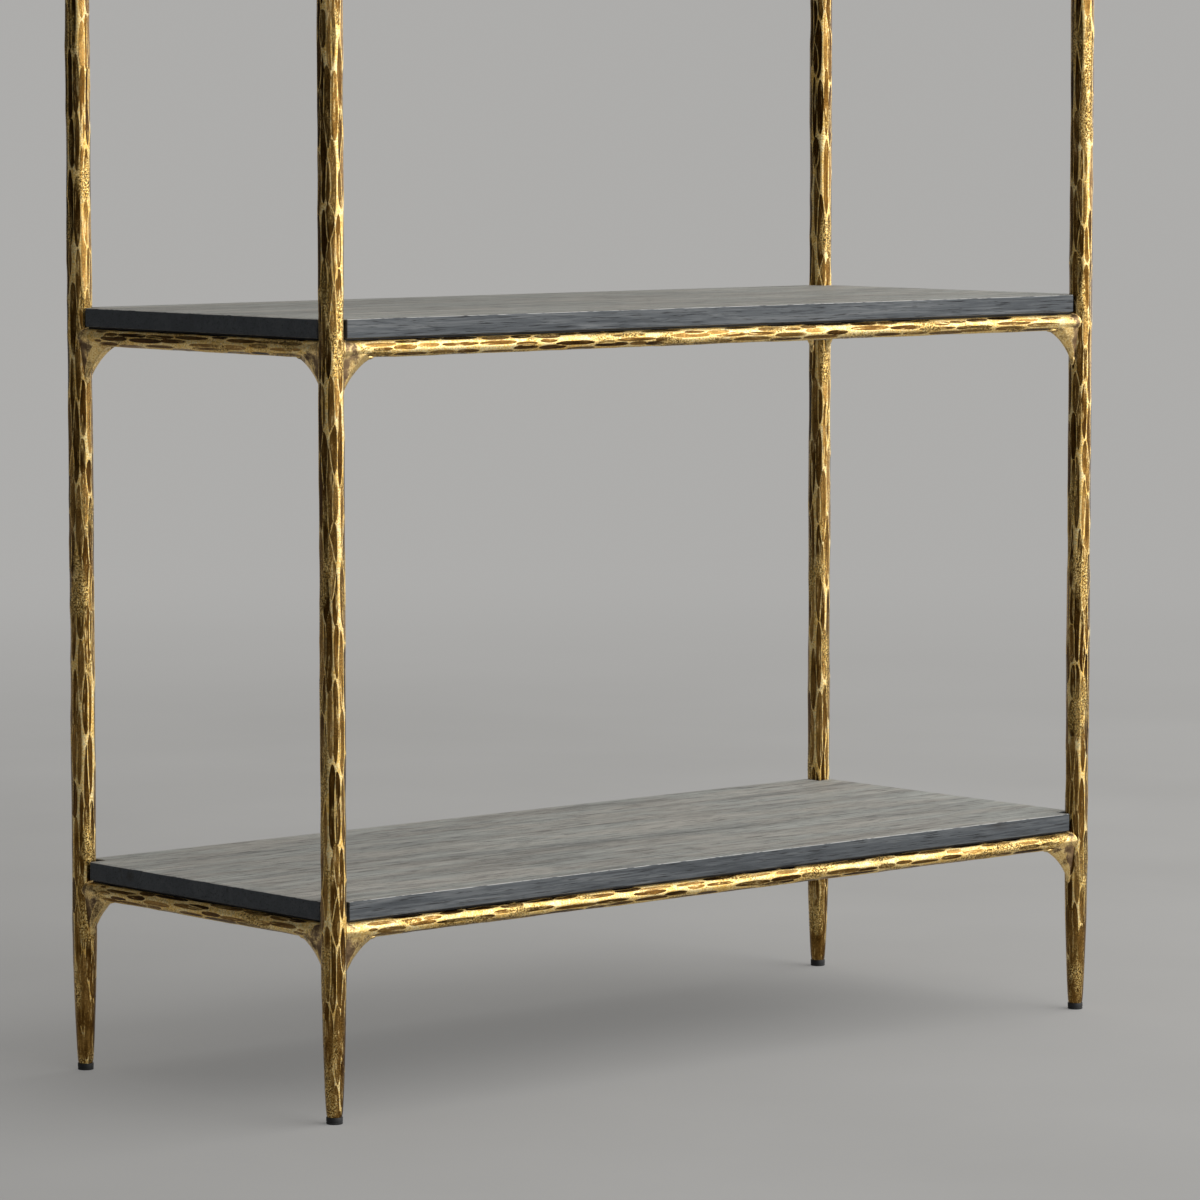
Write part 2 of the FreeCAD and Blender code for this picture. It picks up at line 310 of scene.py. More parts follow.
class Blows:
    """Where the hammer fell on one bar: rows of flats along it, each of its own length, depth and
    tone, so that no two rows line up."""

    def __init__(self, seed, length, row_count, flat_length, depth):
        chance = np.random.default_rng(seed)
        count = int(length / flat_length) + spare_blows
        self.rows = []
        for row in range(row_count):
            lengths = flat_length * chance.uniform(*blow_length_shares, count + 1)
            start = blows_before_bar + chance.uniform(0, 1)
            marks = np.cumsum(lengths) - flat_length * start
            turns = row + chance.uniform(*blow_turn_shares, count)
            self.rows.append({
                "middle": (marks[1:] + marks[:-1]) / 2,
                "half": (marks[1:] - marks[:-1]) / 2,
                "angle": 2 * pi * turns / row_count,
                "depth": depth * chance.uniform(*blow_depth_shares, count),
                "lean": depth * chance.uniform(*blow_lean_shares, count),
                "tone": chance.uniform(0, 1, count),
            })

    def struck(self, along, turn, radius, roundness):
        """For each point of the bar: its radius, how far it lies inside a flat, and the tone of
        that flat. Between the flats the round bar is left. The deepest surface wins, and the
        second deepest says how far the ridge between the two is."""
        out_of_reach = 1.0
        widest_turn, furthest_share, least_steepness = 1.2, 2.2, 0.02
        lowest = np.array(radius, float)
        second = np.full_like(lowest, out_of_reach)
        slope = np.zeros((2, len(lowest)))
        second_slope = np.zeros((2, len(lowest)))
        tone = np.full_like(lowest, 0.5)
        found = [lowest.copy()]
        for row in self.rows:
            nearest = np.searchsorted(row["middle"], along)
            for step in (-2, -1, 0, 1):
                each = np.clip(nearest + step, 0, len(row["middle"]) - 1)
                half, lean = row["half"][each], row["lean"][each]
                rise = row["depth"][each]
                off = np.angle(np.exp(1j * (turn - row["angle"][each])))
                share = (along - row["middle"][each]) / half
                near = (np.abs(off) < widest_turn) & (np.abs(share) < furthest_share)
                off = np.where(near, off, 0)
                reach = (radius - rise) / np.cos(off) + rise * np.abs(share) ** 3 + lean * share
                reach = np.where(near, reach, out_of_reach)
                end_slope = (3 * rise * share * np.abs(share) + lean) / half
                own_slope = np.array((np.sin(off), end_slope))
                beats = reach < lowest
                closer = ~beats & (reach < second)
                second = np.where(beats, lowest, np.where(closer, reach, second))
                second_slope = np.where(beats, slope, np.where(closer, own_slope, second_slope))
                slope = np.where(beats, own_slope, slope)
                tone = np.where(beats, row["tone"][each], tone)
                lowest = np.where(beats, reach, lowest)
                found.append(reach)
        gathered = np.zeros_like(lowest)
        for reach in found:
            gathered += np.exp(-(reach - lowest) / roundness)
        rounded = lowest - roundness * np.log(gathered)
        steepness = np.maximum(np.hypot(*(slope - second_slope)), least_steepness)
        way = np.minimum((second - lowest) / steepness, widest_ridge_way)
        return rounded, np.where(lowest < radius, way, 0), tone


def tube(name, radius, side_count, length, ring_count):
    """An open round tube along z from height zero, with even rings."""
    step = length / ring_count
    bpy.ops.object.select_all(action="DESELECT")
    bpy.ops.mesh.primitive_cylinder_add(
        vertices=side_count, radius=radius, depth=step, end_fill_type="NOTHING",
        location=(0, 0, step / 2),
    )
    bpy.ops.object.transform_apply(location=True)
    return worked(
        added(name), "ARRAY", count=ring_count, use_relative_offset=False,
        use_constant_offset=True, constant_offset_displace=(0, 0, step),
        use_merge_vertices=True, merge_threshold=step / 10,
    )


def hammered(piece, blows, radius, roundness, shift, beaten, ridge_scale):
    """Beats a tube all over. radius is the bar's own radius at each of its points, and beaten is
    how far it was beaten there. shift moves its finish along, so that no two bars look alike, and
    a larger ridge_scale makes its bright ridges thinner."""
    points = points_of(piece)
    along = points[:, 2].copy()
    turn = np.arctan2(points[:, 1], points[:, 0])
    reach, way, tone = blows.struck(along, turn, radius, roundness)
    reach = radius + (reach - radius) * beaten
    way = way * ridge_scale
    tone = leg_tone + (tone - leg_tone) * beaten
    points[:, 0] = reach * np.cos(turn)
    points[:, 1] = reach * np.sin(turn)
    set_points(piece, points)
    give_places(piece, "bar_place", points + np.array((0, 0, shift)))
    give_values(piece, "ridge_way", way / mm)
    give_values(piece, "tone", tone)


def laid(piece, order, by):
    """Turns a piece that was made along z to lie along x or y, and moves it to its place."""
    points = points_of(piece)[:, order]
    set_points(piece, points + np.array(by))


def made_post(corner, seed):
    """A post with its leg drawn slim, its top rounded over and a bore in the leg for the stud."""
    length = post_top - leg_tip
    ring_count = round(length / ring_step)
    piece = tube(f"hammered_post_{corner}", post_radius, post_side_count, length, ring_count)
    height = points_of(piece)[:, 2]
    share = np.clip(height / leg_taper_length, 0, 1)
    radius = leg_tip_radius + (post_radius - leg_tip_radius) * share**leg_taper_power
    radius *= 1 - bar_waviness * (1 + np.sin(height / post_wave_length + seed))
    blows = Blows(seed, length, post_row_count, post_flat_length, post_flat_depth)
    beaten = np.clip((height - leg_smooth_length) / leg_smooth_fade, leg_least_beaten, 1)
    hammered(piece, blows, radius, post_ridge_roundness, seed, beaten, 1 / beaten)
    top = length - ring_step / 4
    pick_edges(piece, lambda p: p[:, 2] > top)
    for factor in post_end_ring_shares:
        grow_ring(factor, 0, (0, 0, length))
    bpy.ops.mesh.edge_face_add()
    object_mode()
    points = points_of(piece)
    across = np.hypot(points[:, 0], points[:, 1])
    near_end = points[:, 2] > length - post_end_bevel
    rounding = post_end_bevel * np.clip(across / post_radius, 0, 1) ** post_end_power
    points[:, 2] = np.where(near_end, np.minimum(points[:, 2], length - rounding), points[:, 2])
    set_points(piece, points)
    pick_edges(piece, lambda p: p[:, 2] < ring_step / 4)
    grow_ring(leg_tip_bevel_share, -leg_tip_bevel, (0, 0, 0))
    grow_ring(leg_bore_radius / (leg_tip_radius * leg_bore_ring_share), 0, (0, 0, 0))
    grow_ring(1, leg_bore_depth, (0, 0, 0))
    bpy.ops.mesh.edge_face_add()
    object_mode()
    points = points_of(piece)
    points[:, 2] = np.maximum(points[:, 2], 0)
    x, y = post_centres[corner]
    set_points(piece, points + np.array((x, y, leg_tip)))
    return smooth_shaded(piece)


def made_rail(name, seed, half_length, order, by):
    """A rail between two post centres, its ends hollowed to the posts' round."""
    length = 2 * (half_length - post_radius) + 2 * saddle_bite
    piece = tube(name, rail_radius, rail_side_count, length, round(length / ring_step))
    height = points_of(piece)[:, 2]
    radius = rail_radius * (1 - bar_waviness * (1 + np.sin(height / rail_wave_length + seed)))
    from_end = np.minimum(height, length - height)
    beaten = np.clip((from_end - plain_rail_end) / plain_rail_fade, 0, 1)
    blows = Blows(seed, length, rail_row_count, rail_flat_length, rail_flat_depth)
    hammered(piece, blows, radius, rail_ridge_roundness, seed, beaten, beaten)
    close_end(piece, length, ring_step / 4)
    close_end(piece, 0, ring_step / 4)
    points = points_of(piece)
    points[:, 2] -= length / 2
    across = points[:, 0] if order == (2, 0, 1) else points[:, 1]
    inner = post_radius - saddle_bite
    hollow = inner - np.sqrt(np.maximum(inner**2 - across**2, 0))
    into = np.clip((np.abs(points[:, 2]) - (length / 2 - saddle_stretch)) / saddle_stretch, 0, 1)
    points[:, 2] += np.sign(points[:, 2]) * hollow * into
    set_points(piece, points)
    laid(piece, order, by)
    return smooth_shaded(piece)


# Cast webs

def block(name, low, high):
    """A plain block between two corners, to be worked further."""
    middle = [(a + b) / 2 for a, b in zip(low, high)]
    size = [b - a for a, b in zip(low, high)]
    bpy.ops.object.select_all(action="DESELECT")
    bpy.ops.mesh.primitive_cube_add(size=1, location=middle, scale=size)
    bpy.ops.object.transform_apply(location=True, scale=True)
    return added(name)


def pick_faces(piece, test):
    """Goes into edit mode with only the faces selected whose (middle, normal) pass the test."""
    only(piece)
    count = len(piece.data.polygons)
    middles, normals = np.empty(count * 3), np.empty(count * 3)
    piece.data.polygons.foreach_get("center", middles)
    piece.data.polygons.foreach_get("normal", normals)
    chosen = test(middles.reshape(-1, 3), normals.reshape(-1, 3))
    bpy.ops.object.mode_set(mode="EDIT")
    bpy.ops.mesh.select_mode(type="FACE")
    bpy.ops.mesh.select_all(action="DESELECT")
    bpy.ops.object.mode_set(mode="OBJECT")
    piece.data.polygons.foreach_set("select", chosen)
    bpy.ops.object.mode_set(mode="EDIT")


def cut_away(piece, cutter):
    """Cuts one piece with another, which is used up."""
    worked(piece, "BOOLEAN", operation="DIFFERENCE", object=cutter, solver="EXACT")
    bpy.data.objects.remove(cutter)
    return piece


def fused(piece, other):
    """Makes one solid of two, and the second is used up."""
    worked(piece, "BOOLEAN", operation="UNION", object=other, solver="EXACT")
    bpy.data.objects.remove(other)
    return piece


def joined(first, *others):
    only(first)
    for other in others:
        other.select_set(True)
    bpy.ops.object.join()
    return first


def wheel_centre():
    """Where the grinding wheel's axis crosses a web that runs along +x."""
    chord = sqrt(web_reach**2 + web_drop**2)
    back = sqrt(web_arc_radius**2 - (chord / 2) ** 2)
    x = post_radius + web_reach / 2 + back * web_drop / chord
    z = -rail_radius - web_drop / 2 - back * web_reach / chord
    return x, z


def grinding_wheel():
    """The wheel that leaves a web its hollow arc between two bevels."""
    x, z = wheel_centre()
    bpy.ops.object.select_all(action="DESELECT")
    bpy.ops.mesh.primitive_cylinder_add(
        vertices=wheel_side_count, radius=web_arc_radius, depth=web_ridge_width,
        location=(x, 0, z), rotation=(pi / 2, 0, 0),
    )
    bpy.ops.object.transform_apply(location=True, rotation=True)
    wheel = added("grinding_wheel")
    brim = 1 + web_thickness * web_bevel_slope / web_arc_radius
    for side in (-1, 1):
        pick_faces(wheel, lambda middle, normal: normal[:, 1] * side > 0.9)
        out = (0, side * web_thickness, 0)
        bpy.ops.mesh.extrude_region_move(TRANSFORM_OT_translate={"value": out})
        bpy.ops.transform.resize(value=(brim, 1, brim), center_override=(x, 0, z))
        object_mode()
    return wheel


def lump(name, radius, place, stretch):
    """A smooth lump of weld or cast metal."""
    bpy.ops.object.select_all(action="DESELECT")
    bpy.ops.mesh.primitive_ico_sphere_add(
        subdivisions=4, radius=radius, location=place, scale=stretch
    )
    bpy.ops.object.transform_apply(location=True, scale=True)
    return added(name)


def weld_round_rail():
    """The bead where a rail's end meets its post, bent to the post's round."""
    bpy.ops.object.select_all(action="DESELECT")
    bpy.ops.mesh.primitive_torus_add(
        major_radius=rail_radius, minor_radius=weld_thickness, major_segments=48,
        minor_segments=16, location=(post_radius, 0, 0), rotation=(0, pi / 2, 0),
    )
    bpy.ops.object.transform_apply(location=True, rotation=True)
    bead = added("weld_round_rail")
    points = points_of(bead)
    across = np.clip(np.abs(points[:, 1]), 0, post_radius * 0.95)
    points[:, 0] += np.sqrt(post_radius**2 - across**2) - post_radius
    set_points(bead, points)
    return bead


def collar():
    """The skin of cast metal round a rail's end. It thins out along the rail, and its top lies
    level with the rail's, where the board is."""
    start = post_radius - web_root
    bpy.ops.object.select_all(action="DESELECT")
    bpy.ops.mesh.primitive_cone_add(
        vertices=72, radius1=rail_radius + collar_build_up, radius2=rail_radius - collar_build_up,
        depth=collar_length, location=(start + collar_length / 2, 0, 0), rotation=(0, pi / 2, 0),
    )
    bpy.ops.object.transform_apply(location=True, rotation=True)
    skin = added("collar")
    points = points_of(skin)
    share = (points[:, 0] - start) / collar_length
    points[:, 2] -= collar_build_up * np.clip(1 - 2 * share, 0, 1)
    set_points(skin, points)
    return skin


def one_web():
    """A web along +x under a rail at height zero, with its welds, before it is cast rough."""
    web = block(
        "web",
        (post_radius - web_root, -web_thickness / 2, -rail_radius - web_drop),
        (post_radius + web_reach, web_thickness / 2, -rail_radius / 2),
    )
    pick_faces(web, lambda middle, normal: normal[:, 2] < -0.9)
    taper = web_foot_thickness / web_thickness
    bpy.ops.transform.resize(value=(1, taper, 1), center_override=(0, 0, 0))
    object_mode()
    cut_away(web, grinding_wheel())
    worked(web, "BEVEL", width=web_arris, segments=2, limit_method="ANGLE")
    knob_place = (post_radius + web_reach - knob_radius, 0, -rail_radius + knob_rise)
    knob = lump("knob", knob_radius, knob_place, knob_stretch)
    foot_place = (post_radius - foot_inset, 0, -rail_radius - web_drop + foot_rise)
    foot = lump("foot", foot_radius, foot_place, foot_stretch)
    crown_place = (post_radius + crown_out, 0, rail_radius - crown_drop)
    crown = lump("crown", crown_radius, crown_place, crown_stretch)
    return joined(web, knob, foot, crown, weld_round_rail(), collar())


def cast_pair():
    """The two webs of a front left corner, fused with their welds."""
    along = one_web()
    inward = one_web()
    points = points_of(inward)
    set_points(inward, np.column_stack((points[:, 1], points[:, 0], points[:, 2])))
    only(inward)
    bpy.ops.object.mode_set(mode="EDIT")
    bpy.ops.mesh.select_all(action="SELECT")
    bpy.ops.mesh.normals_make_consistent(inside=False)
    object_mode()
    pair = joined(along, inward)
    worked(pair, "REMESH", mode="VOXEL", voxel_size=cast_voxel)
    worked(pair, "SMOOTH", factor=0.5, iterations=7)
    worked(pair, "DECIMATE", ratio=cast_kept_share)
    give_ground(pair)
    return pair


def copied(source, name):
    """A copy with its own mesh."""
    twin = source.copy()
    twin.data = source.data.copy()
    twin.name = name
    twin.data.name = name
    bpy.context.scene.collection.objects.link(twin)
    return twin


def outward(piece):
    """Merges doubles and turns every face outwards."""
    only(piece)
    bpy.ops.object.mode_set(mode="EDIT")
    bpy.ops.mesh.select_all(action="SELECT")
    bpy.ops.mesh.remove_doubles(threshold=0.002 * mm)
    bpy.ops.mesh.normals_make_consistent(inside=False)
    object_mode()
    return piece


def give_edge_wear(piece, full, spread=2):
    """Stores how far each point stands out among its neighbours, as a rubbed edge does. One that
    stands out by the share full counts as 1, and spread says how often the values are evened."""
    mesh = piece.data
    points = points_of(piece)
    normals = np.empty(len(points) * 3)
    mesh.vertices.foreach_get("normal", normals)
    normals = normals.reshape(-1, 3)
    ends = np.empty(len(mesh.edges) * 2, dtype=np.int64)
    mesh.edges.foreach_get("vertices", ends)
    near, far = ends.reshape(-1, 2).T
    ways = points[far] - points[near]
    ways /= np.maximum(np.linalg.norm(ways, axis=1), 1e-9)[:, None]
    total = len(points)
    count = np.bincount(near, minlength=total) + np.bincount(far, minlength=total)
    count = np.maximum(count, 1)
    stands = np.bincount(near, -(normals[near] * ways).sum(1), total)
    stands += np.bincount(far, (normals[far] * ways).sum(1), total)
    stands = np.clip(stands / count / full, 0, 1)
    for _ in range(spread):
        around = np.bincount(near, stands[far], total) + np.bincount(far, stands[near], total)
        stands = (stands + around / count) / 2
    give_values(piece, "edge", stands)


def give_ground(pair):
    """Stores where the two webs of a pair are bright: 1 where the wheel ground their bevels, and
    at the welds to the rail and at the foot."""
    points = points_of(pair)
    centre_x, centre_z = wheel_centre()
    height = points[:, 2]
    past_post = points[:, :2].max(axis=1) - post_radius
    web_foot = -rail_radius - web_drop
    near_rail = np.clip((height + rail_radius + bright_rail_drop) / bright_rail_fade, 0, 1)
    out = np.clip((past_post - bright_out_start) / bright_out_fade, 0, 1)
    foot = np.clip((web_foot + bright_foot_rise - height) / bright_foot_fade, 0, 1)
    ground = np.maximum(near_rail * (0.6 + 0.4 * out), foot * 0.8)
    for along, beside in ((0, 1), (1, 0)):
        reach = np.hypot(points[:, along] - centre_x, height - centre_z)
        bevel = np.maximum(np.abs(points[:, beside]) - web_ridge_width / 2, 0) * web_bevel_slope
        off = np.abs(reach - web_arc_radius - bevel)
        own = (points[:, along] > post_radius) & (height < -rail_radius)
        ground = np.maximum(ground, own * np.clip(2 - off / ground_tolerance, 0, 1))
    give_values(pair, "ground", ground)


def made_webs(pair, corner, level, dents):
    """A copy of the pair, turned to its own corner and dented in its own way."""
    piece = copied(pair, f"cast_webs_{corner}_{level}")
    x, y = post_centres[corner]
    points = points_of(piece)
    points[:, 0] = x - np.sign(x) * points[:, 0]
    points[:, 1] = y - np.sign(y) * points[:, 1]
    points[:, 2] += rail_heights[level]
    set_points(piece, points)
    outward(piece)
    worked(
        piece, "DISPLACE", texture=dents, texture_coords="GLOBAL", strength=cast_dent_depth,
        mid_level=0.5,
    )
    give_edge_wear(piece, 0.22)
    return smooth_shaded(piece, radians(60))


# Boards, tabs and screws

def made_board(level):
    """A board with a rebate round its foot and a square notch round each post."""
    low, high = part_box(f"shelf_board_{level}")
    board = block(f"stained_board_{level}", (low.x, low.y, low.z + board_rebate_height), high)
    pick_faces(board, lambda middle, normal: normal[:, 2] < -0.9)
    bpy.ops.mesh.inset(thickness=board_rebate_depth)
    bpy.ops.mesh.extrude_region_move(
        TRANSFORM_OT_translate={"value": (0, 0, -board_rebate_height - board_seat_bite)}
    )
    object_mode()
    notch_x = half_wide - post_radius - notch_clearance
    notch_y = half_deep - post_radius - notch_clearance
    cutters = []
    for across in (-1, 1):
        for deep in (-1, 1):
            x = sorted((across * notch_x, across * (high.x + notch_overrun)))
            y = sorted((deep * notch_y, deep * (high.y + notch_overrun)))
            near = (x[0], y[0], low.z - notch_overrun)
            far = (x[1], y[1], high.z + notch_overrun)
            cutters.append(block("notch", near, far))
    cut_away(board, joined(*cutters))
    worked(
        board, "BEVEL", width=board_arris, segments=3, limit_method="ANGLE", harden_normals=True
    )
    # Marks the rebate's points, which the finish paints near black as painted shade in the recess
    painted_shade_top = low.z + board_rebate_height * painted_shade_top_share
    give_values(board, "rebate", points_of(board)[:, 2] < painted_shade_top)
    return smooth_shaded(board, radians(20))


def made_tab():
    """A tab at the origin that reaches towards +y, with its top at height zero."""
    half = tab_width / 2
    nose = tab_lap + tab_length
    tab = block("tab", (-half, tab_lap, -tab_thickness), (half, nose, 0))
    for side in (-1, 1):
        pick_edges(tab, lambda p: (p[:, 1] > nose - mm) & (p[:, 0] * side > 0))
        bpy.ops.mesh.bevel(offset=tab_clipped_corner, segments=1, affect="EDGES")
        object_mode()
    bpy.ops.object.select_all(action="DESELECT")
    hole_place = (0, nose - half, -tab_thickness / 2)
    bpy.ops.mesh.primitive_cylinder_add(
        vertices=40, radius=tab_hole_radius, depth=3 * tab_thickness, location=hole_place
    )
    bpy.ops.object.transform_apply(location=True)
    cut_away(tab, added("hole"))
    worked(tab, "BEVEL", width=tab_arris, segments=2, limit_method="ANGLE")
    bead_place = (0, rail_radius - tab_bead_inset, -tab_thickness - tab_bead_drop)
    return fused(tab, lump("bead", tab_bead_radius, bead_place, tab_bead_stretch))


def threaded(name, radius, core, pitch, length, side_count):
    """A threaded shank up from height zero. Its thread starts one pitch up, has trapezium ridges
    and narrows at the end."""
    ring_count = round(length / pitch) * rings_per_pitch
    shank = tube(name, radius, side_count, length, ring_count)
    points = points_of(shank)
    turn = np.arctan2(points[:, 1], points[:, 0])
    phase = (points[:, 2] / pitch - turn / (2 * pi)) % 1
    crest = np.clip(2.6 * (1 - np.abs(2 * phase - 1)) - 0.6, 0, 1)
    start = np.clip((points[:, 2] - pitch) / pitch, 0, 1)
    tip = np.clip((length - points[:, 2]) / (1.5 * pitch), 0, 1)
    reach = core + (radius - core) * crest * start
    reach *= thread_tip_share + (1 - thread_tip_share) * tip
    points[:, 0] = reach * np.cos(turn)
    points[:, 1] = reach * np.sin(turn)
    set_points(shank, points)
    for end in (0, length):
        close_end(shank, end, length / ring_count / 4)
    return outward(shank)


def made_screw():
    """A pan-head screw that points up, with the underside of its tab at height zero."""
    bpy.ops.object.select_all(action="DESELECT")
    bpy.ops.mesh.primitive_cylinder_add(
        vertices=40, radius=screw_head_radius, depth=screw_head_height,
        location=(0, 0, -screw_head_height / 2),
    )
    bpy.ops.object.transform_apply(location=True)
    head = added("screw_head")
    pick_edges(head, lambda p: p[:, 2] < -screw_head_height / 2)
    crown = screw_head_height * screw_crown_share
    bpy.ops.mesh.bevel(offset=crown, segments=6, profile=0.5, affect="EDGES")
    object_mode()
    for wide, deep in (
        (screw_recess_length, screw_recess_width),
        (screw_recess_width, screw_recess_length),
    ):
        low = (-wide / 2, -deep / 2, -screw_head_height - mm)
        high = (wide / 2, deep / 2, -screw_head_height + screw_recess_depth)
        cut_away(head, block("recess", low, high))
    length = tab_thickness + screw_bite
    shank = threaded(
        "screw_shank", screw_radius, screw_core_radius, screw_pitch, length, 20
    )
    set_points(shank, points_of(shank) - np.array((0, 0, screw_root)))
    return fused(head, shank)


# Levelling glides

def lathed(name, side_count, rings):
    """A piece turned about z: a filled disc, then one ring after another, then a fill."""
    (radius, height), *others = rings
    bpy.ops.object.select_all(action="DESELECT")
    bpy.ops.mesh.primitive_circle_add(
        vertices=side_count, radius=radius, fill_type="NGON", location=(0, 0, height)
    )
    bpy.ops.object.transform_apply(location=True)
    piece = added(name)
    pick_edges(piece, lambda p: p[:, 2] < 1)
    for new_radius, new_height in others:
        grow_ring(new_radius / radius, new_height - height, (0, 0, 0))
        radius, height = new_radius, new_height
    bpy.ops.mesh.edge_face_add()
    object_mode()
    return outward(piece)


def made_pad():
    """The foot, with a rounded sole, a shallow groove, and the pocket for the stud's head."""
    from_sole = ((1.5, 0), (0.6, 0.25), (0, 1.3), (0, 3), (0.5, 3.5), (0.5, 4.5), (0, 5))
    from_top = ((0, 1), (0.3, 0.3), (1, 0))
    rings = [(pad_radius - inset * pad_lip, up * pad_lip) for inset, up in from_sole]
    rings += [
        (pad_radius - inset * pad_lip, pad_height - down * pad_lip) for inset, down in from_top
    ]
    rings += [
        (pad_neck_radius, pad_height), (pad_neck_radius, pad_pocket_top),
        (pad_pocket_radius, pad_pocket_top), (pad_pocket_radius, pad_floor),
    ]
    return lathed("pad", 64, rings)


def made_stud():
    """A stud that stands on the pad's floor by its six-sided head and points up."""
    bpy.ops.object.select_all(action="DESELECT")
    bpy.ops.mesh.primitive_cylinder_add(
        vertices=6, radius=stud_head_radius, depth=stud_head_height,
        location=(0, 0, pad_floor + stud_head_height / 2),
    )
    bpy.ops.object.transform_apply(location=True)
    head = added("stud_head")
    worked(head, "BEVEL", width=stud_head_arris, segments=2, limit_method="ANGLE")
    root = pad_floor + stud_head_height - stud_root
    shank = threaded(
        "stud_shank", stud_radius, stud_core_radius, stud_pitch, stud_top - root, 36
    )
    set_points(shank, points_of(shank) + np.array((0, 0, root)))
    return fused(head, shank)


# Finishes

class Wire:
    """A socket that adds its own maths nodes when it is used in a sum."""

    def __init__(self, finish, socket):
        self.finish = finish
        self.socket = socket

    def maths(self, operation, first, second):
        return self.finish.node("ShaderNodeMath", {"operation": operation}, {0: first, 1: second})

    def __add__(self, other):
        return self.maths("ADD", self, other)

    def __sub__(self, other):
        return self.maths("SUBTRACT", self, other)

    def __mul__(self, other):
        return self.maths("MULTIPLY", self, other)

    def __rsub__(self, other):
        return self.maths("SUBTRACT", other, self)

    __radd__ = __add__
    __rmul__ = __mul__

    def or_more(self, other):
        return self.maths("MAXIMUM", self, other)

    def between(self, low, high):
        """Goes smoothly from 0 at low to 1 at high."""
        settings = {"interpolation_type": "SMOOTHSTEP"}
        sockets = {"Value": self, "From Min": low, "From Max": high}
        return self.finish.node("ShaderNodeMapRange", settings, sockets)


class Finish:
    """One material and the nodes that make its look."""

    def __init__(self, name, **fixed):
        self.material = bpy.data.materials.new(name)
        self.material.use_nodes = True
        self.tree = self.material.node_tree
        self.shader = self.tree.nodes["Principled BSDF"]
        for key, value in fixed.items():
            self.shader.inputs[key.replace("_", " ")].default_value = value

    def put(self, socket, value):
        if isinstance(value, Wire):
            self.tree.links.new(value.socket, socket)
        elif hasattr(value, "__len__") and len(value) == 3 and socket.type == "RGBA":
            socket.default_value = (*value, 1)
        else:
            socket.default_value = value

    def node(self, kind, settings=None, sockets=None, output=0):
        """Adds one node, sets it up and gives back one of its outputs."""
        made = self.tree.nodes.new(kind)
        for key, value in (settings or {}).items():
            if key == "stops":
                self.set_stops(made.color_ramp, value)
            else:
                setattr(made, key, value)
        for key, value in (sockets or {}).items():
            self.put(made.inputs[key], value)
        return Wire(self, made.outputs[output])

    def set_stops(self, ramp, stops):
        ramp.elements.remove(ramp.elements[-1])
        ramp.elements[0].position = stops[0][0]
        ramp.elements[0].color = (*stops[0][1], 1)
        for place, colour in stops[1:]:
            ramp.elements.new(place).color = (*colour, 1)

    def places(self, stretch=(1, 1, 1), shift=(0, 0, 0), along_bar=False):
        """Coordinates in metres, stretched: the piece's own, or those with z along its bar."""
        if along_bar:
            settings = {"attribute_name": "bar_place", "attribute_type": "GEOMETRY"}
            own = self.node("ShaderNodeAttribute", settings, output="Vector")
        else:
            own = self.node("ShaderNodeTexCoord", output="Object")
        return self.node(
            "ShaderNodeMapping", None, {"Vector": own, "Scale": stretch, "Location": shift}
        )

    def noise(
        self, scale, detail=3, roughness=0.55, stretch=(1, 1, 1), shift=(0, 0, 0), bend=0.0,
        along_bar=False,
    ):
        sockets = {
            "Vector": self.places(stretch, shift, along_bar), "Scale": scale, "Detail": detail,
            "Roughness": roughness, "Distortion": bend,
        }
        return self.node("ShaderNodeTexNoise", None, sockets)

    def value(self, name):
        """A number that was stored for each point of the piece."""
        settings = {"attribute_name": name, "attribute_type": "GEOMETRY"}
        return self.node("ShaderNodeAttribute", settings, output="Fac")

    def mix(self, first, second, share, blend="MIX"):
        """Mixes two colours. A Mix node has its colours at inputs 6 and 7 and at output 2."""
        settings = {"data_type": "RGBA", "blend_type": blend}
        return self.node("ShaderNodeMix", settings, {0: share, 6: first, 7: second}, 2)

    def ramp(self, share, *stops):
        return self.node("ShaderNodeValToRGB", {"stops": stops}, {"Fac": share})

    def bumped(self, height, distance):
        sockets = {"Height": height, "Distance": distance, "Strength": 1.0}
        return self.node("ShaderNodeBump", None, sockets)

    def done(self, **sockets):
        for key, value in sockets.items():
            self.put(self.shader.inputs[key.replace("_", " ")], value)
        return self.material


